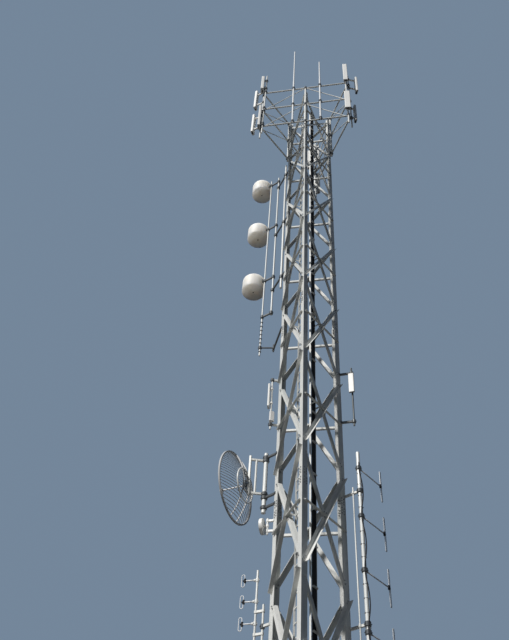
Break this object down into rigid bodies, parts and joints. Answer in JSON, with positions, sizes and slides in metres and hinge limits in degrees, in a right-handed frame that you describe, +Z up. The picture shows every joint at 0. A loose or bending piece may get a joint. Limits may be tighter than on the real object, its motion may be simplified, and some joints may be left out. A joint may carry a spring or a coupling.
{
  "type": "cell tower",
  "caption": "Triangular steel lattice tower with legs of bent steel angle and crossed bracing, carrying a head of panel antennas, drum radomes, a grid dish, dipole arrays and inner ladders.",
  "frame": {"origin": "middle of the underside of the near leg's base plate, on the ground", "axes": "+Z up along the legs, +X to the right across the back face, +Y from the near leg towards the middle of the back face"},
  "size_m": [4.5843, 3.4885, 34.4],
  "materials": {
    "galvanised_steel": "weathered hot-dip galvanised, matt",
    "aluminium": "weathered, matt",
    "radome_shell": "weathered off-white glass fibre, satin",
    "panel_shell": "off-white, satin",
    "cable_jacket": "black jacket, satin",
    "unit_case": "pale grey paint, satin"
  },
  "bodies": {
    "root": {"bracing_back": "galvanised_steel", "bracing_front_left": "galvanised_steel", "bracing_front_right": "galvanised_steel", "cable_ladder": "galvanised_steel", "climbing_ladder": "galvanised_steel", "dish_back_frame": "galvanised_steel", "dish_feed": "aluminium", "dish_grid_reflector": "aluminium", "dish_mast": "galvanised_steel", "dish_mast_arms": "galvanised_steel", "end_pipes": "galvanised_steel", "feeder_cables": "cable_jacket", "fm_brackets": "galvanised_steel", "fm_feed_pole": "galvanised_steel", "fm_leg_pipe": "galvanised_steel", "fm_mast": "galvanised_steel", "fm_radome_1": "radome_shell", "fm_radome_2": "radome_shell", "fm_radome_3": "radome_shell", "left_dipole_mast": "galvanised_steel", "left_dipole_support": "galvanised_steel", "left_dipoles": "aluminium", "left_panel": "panel_shell", "left_panel_mount": "galvanised_steel", "left_radio_unit": "unit_case", "leg_section_1": "galvanised_steel", "leg_section_2": "galvanised_steel", "leg_section_3": "galvanised_steel", "leg_section_4": "galvanised_steel", "leg_section_5": "galvanised_steel", "panels_left": "panel_shell", "panels_rear": "panel_shell", "panels_right": "panel_shell", "right_dipole_cable": "cable_jacket", "right_dipole_mast": "galvanised_steel", "right_dipole_support": "galvanised_steel", "right_dipoles": "aluminium", "right_panel": "panel_shell", "right_panel_mount": "galvanised_steel", "sector_frame_front": "galvanised_steel", "sector_frame_left": "galvanised_steel", "sector_frame_right": "galvanised_steel", "small_dish": "panel_shell", "small_dish_mount": "galvanised_steel", "whip_rods": "aluminium"}
  },
  "joints": []
}
